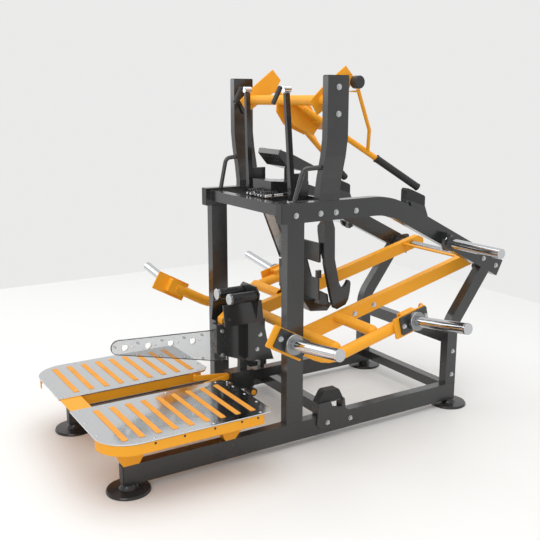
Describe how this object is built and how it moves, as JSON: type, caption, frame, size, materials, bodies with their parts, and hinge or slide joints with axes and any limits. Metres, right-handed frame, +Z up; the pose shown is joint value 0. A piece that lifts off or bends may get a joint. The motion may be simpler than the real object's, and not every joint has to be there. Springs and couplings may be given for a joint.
{
  "type": "plate-loaded lever leg machine",
  "caption": "Standing plate-loaded leg machine: open steel frame, split foot platform, rear-pivoted weight lever with horns, swinging safety catch, handle yoke and strap rollers.",
  "frame": {"origin": "middle of the machine's footprint at floor level", "axes": "+X to the right-hand side of a user who stands on the platform facing the masts, +Y from the open front to the rear pivot, +Z up"},
  "size_m": [1.9142, 2.3234, 1.769],
  "materials": {
    "frame_paint": "satin charcoal powder coat",
    "lever_paint": "satin orange-yellow powder coat",
    "bright": "polished",
    "bolt_steel": "zinc plated",
    "plate_steel": "bright brushed",
    "shaft_steel": "ground",
    "black_rubber": "matte",
    "foot_rubber": "matte",
    "grip_strip": "gritty",
    "black_plastic": "fine grain",
    "roller_plastic": "smooth",
    "clear_sheet": "clear, faintly smoked"
  },
  "bodies": {
    "frame": {"floor_feet": "foot_rubber", "rail_left": "frame_paint", "rail_right": "frame_paint", "front_upright_left": "frame_paint", "front_upright_right": "frame_paint", "top_beam_left": "frame_paint", "top_beam_right": "frame_paint", "rear_leg_left": "frame_paint", "rear_leg_right": "frame_paint", "tube_caps": "black_plastic", "lower_crossbars": "frame_paint", "top_crossmember": "frame_paint", "tall_post_left": "frame_paint", "tall_post_right": "frame_paint", "frame_bolts": "bolt_steel", "platform_tray_left": "lever_paint", "platform_tray_right": "lever_paint", "platform_bridge": "lever_paint", "platform_braces": "lever_paint", "foot_plate_left": "plate_steel", "foot_plate_right": "plate_steel", "grip_strips": "grip_strip", "plate_screws": "bolt_steel", "centre_bar": "frame_paint", "strap_column": "frame_paint", "column_guard": "clear_sheet", "roller_housing": "frame_paint", "strap_block": "lever_paint", "roller_pins": "shaft_steel", "grab_handles": "frame_paint", "mast_bars": "frame_paint", "mast_pins": "bright", "chest_plate": "frame_paint", "spring_cover": "frame_paint", "handle_rests": "black_rubber", "rest_brackets": "frame_paint", "lever_bumpers": "black_rubber", "bumper_brackets": "frame_paint", "pivot_bearings": "frame_paint", "storage_brackets": "frame_paint", "storage_horns": "bright"},
    "lever": {"lever_arm_left": "lever_paint", "lever_arm_right": "lever_paint", "lever_shaft": "shaft_steel", "lever_cross_tubes": "lever_paint", "lever_side_tubes": "lever_paint", "horn_flanges": "lever_paint", "horn_plates": "frame_paint", "weight_horns": "bright", "lever_bolts": "bolt_steel"},
    "catch": {"catch_shaft": "shaft_steel", "catch_arms": "frame_paint", "catch_plates": "frame_paint"},
    "yoke": {"yoke_tube": "lever_paint", "yoke_arms": "lever_paint", "yoke_handles": "lever_paint", "handle_grips": "black_rubber", "yoke_knobs": "black_plastic"},
    "roller_l": {"roller_left": "roller_plastic"},
    "roller_r": {"roller_right": "roller_plastic"}
  },
  "joints": [
    {"name": "lever_pivot", "type": "hinge", "parent": "frame", "child": "lever", "pos_m": [0, 1.061, 0.766], "axis": [-1, 0, 0], "range_deg": [0, 24]},
    {"name": "catch_pivot", "type": "hinge", "parent": "frame", "child": "catch", "pos_m": [0, 0.092, 1.116], "axis": [1, 0, 0], "range_deg": [0, 15]},
    {"name": "yoke_pivot", "type": "hinge", "parent": "frame", "child": "yoke", "pos_m": [0, 0.001, 1.615], "axis": [1, 0, 0], "range_deg": [0, 60]},
    {"name": "roller_spin_left", "type": "hinge", "parent": "frame", "child": "roller_l", "pos_m": [-0.064, -0.2735, 0.676], "axis": [0, 1, 0], "continuous": true},
    {"name": "roller_spin_right", "type": "hinge", "parent": "frame", "child": "roller_r", "pos_m": [0.064, -0.2735, 0.676], "axis": [0, 1, 0], "continuous": true}
  ]
}
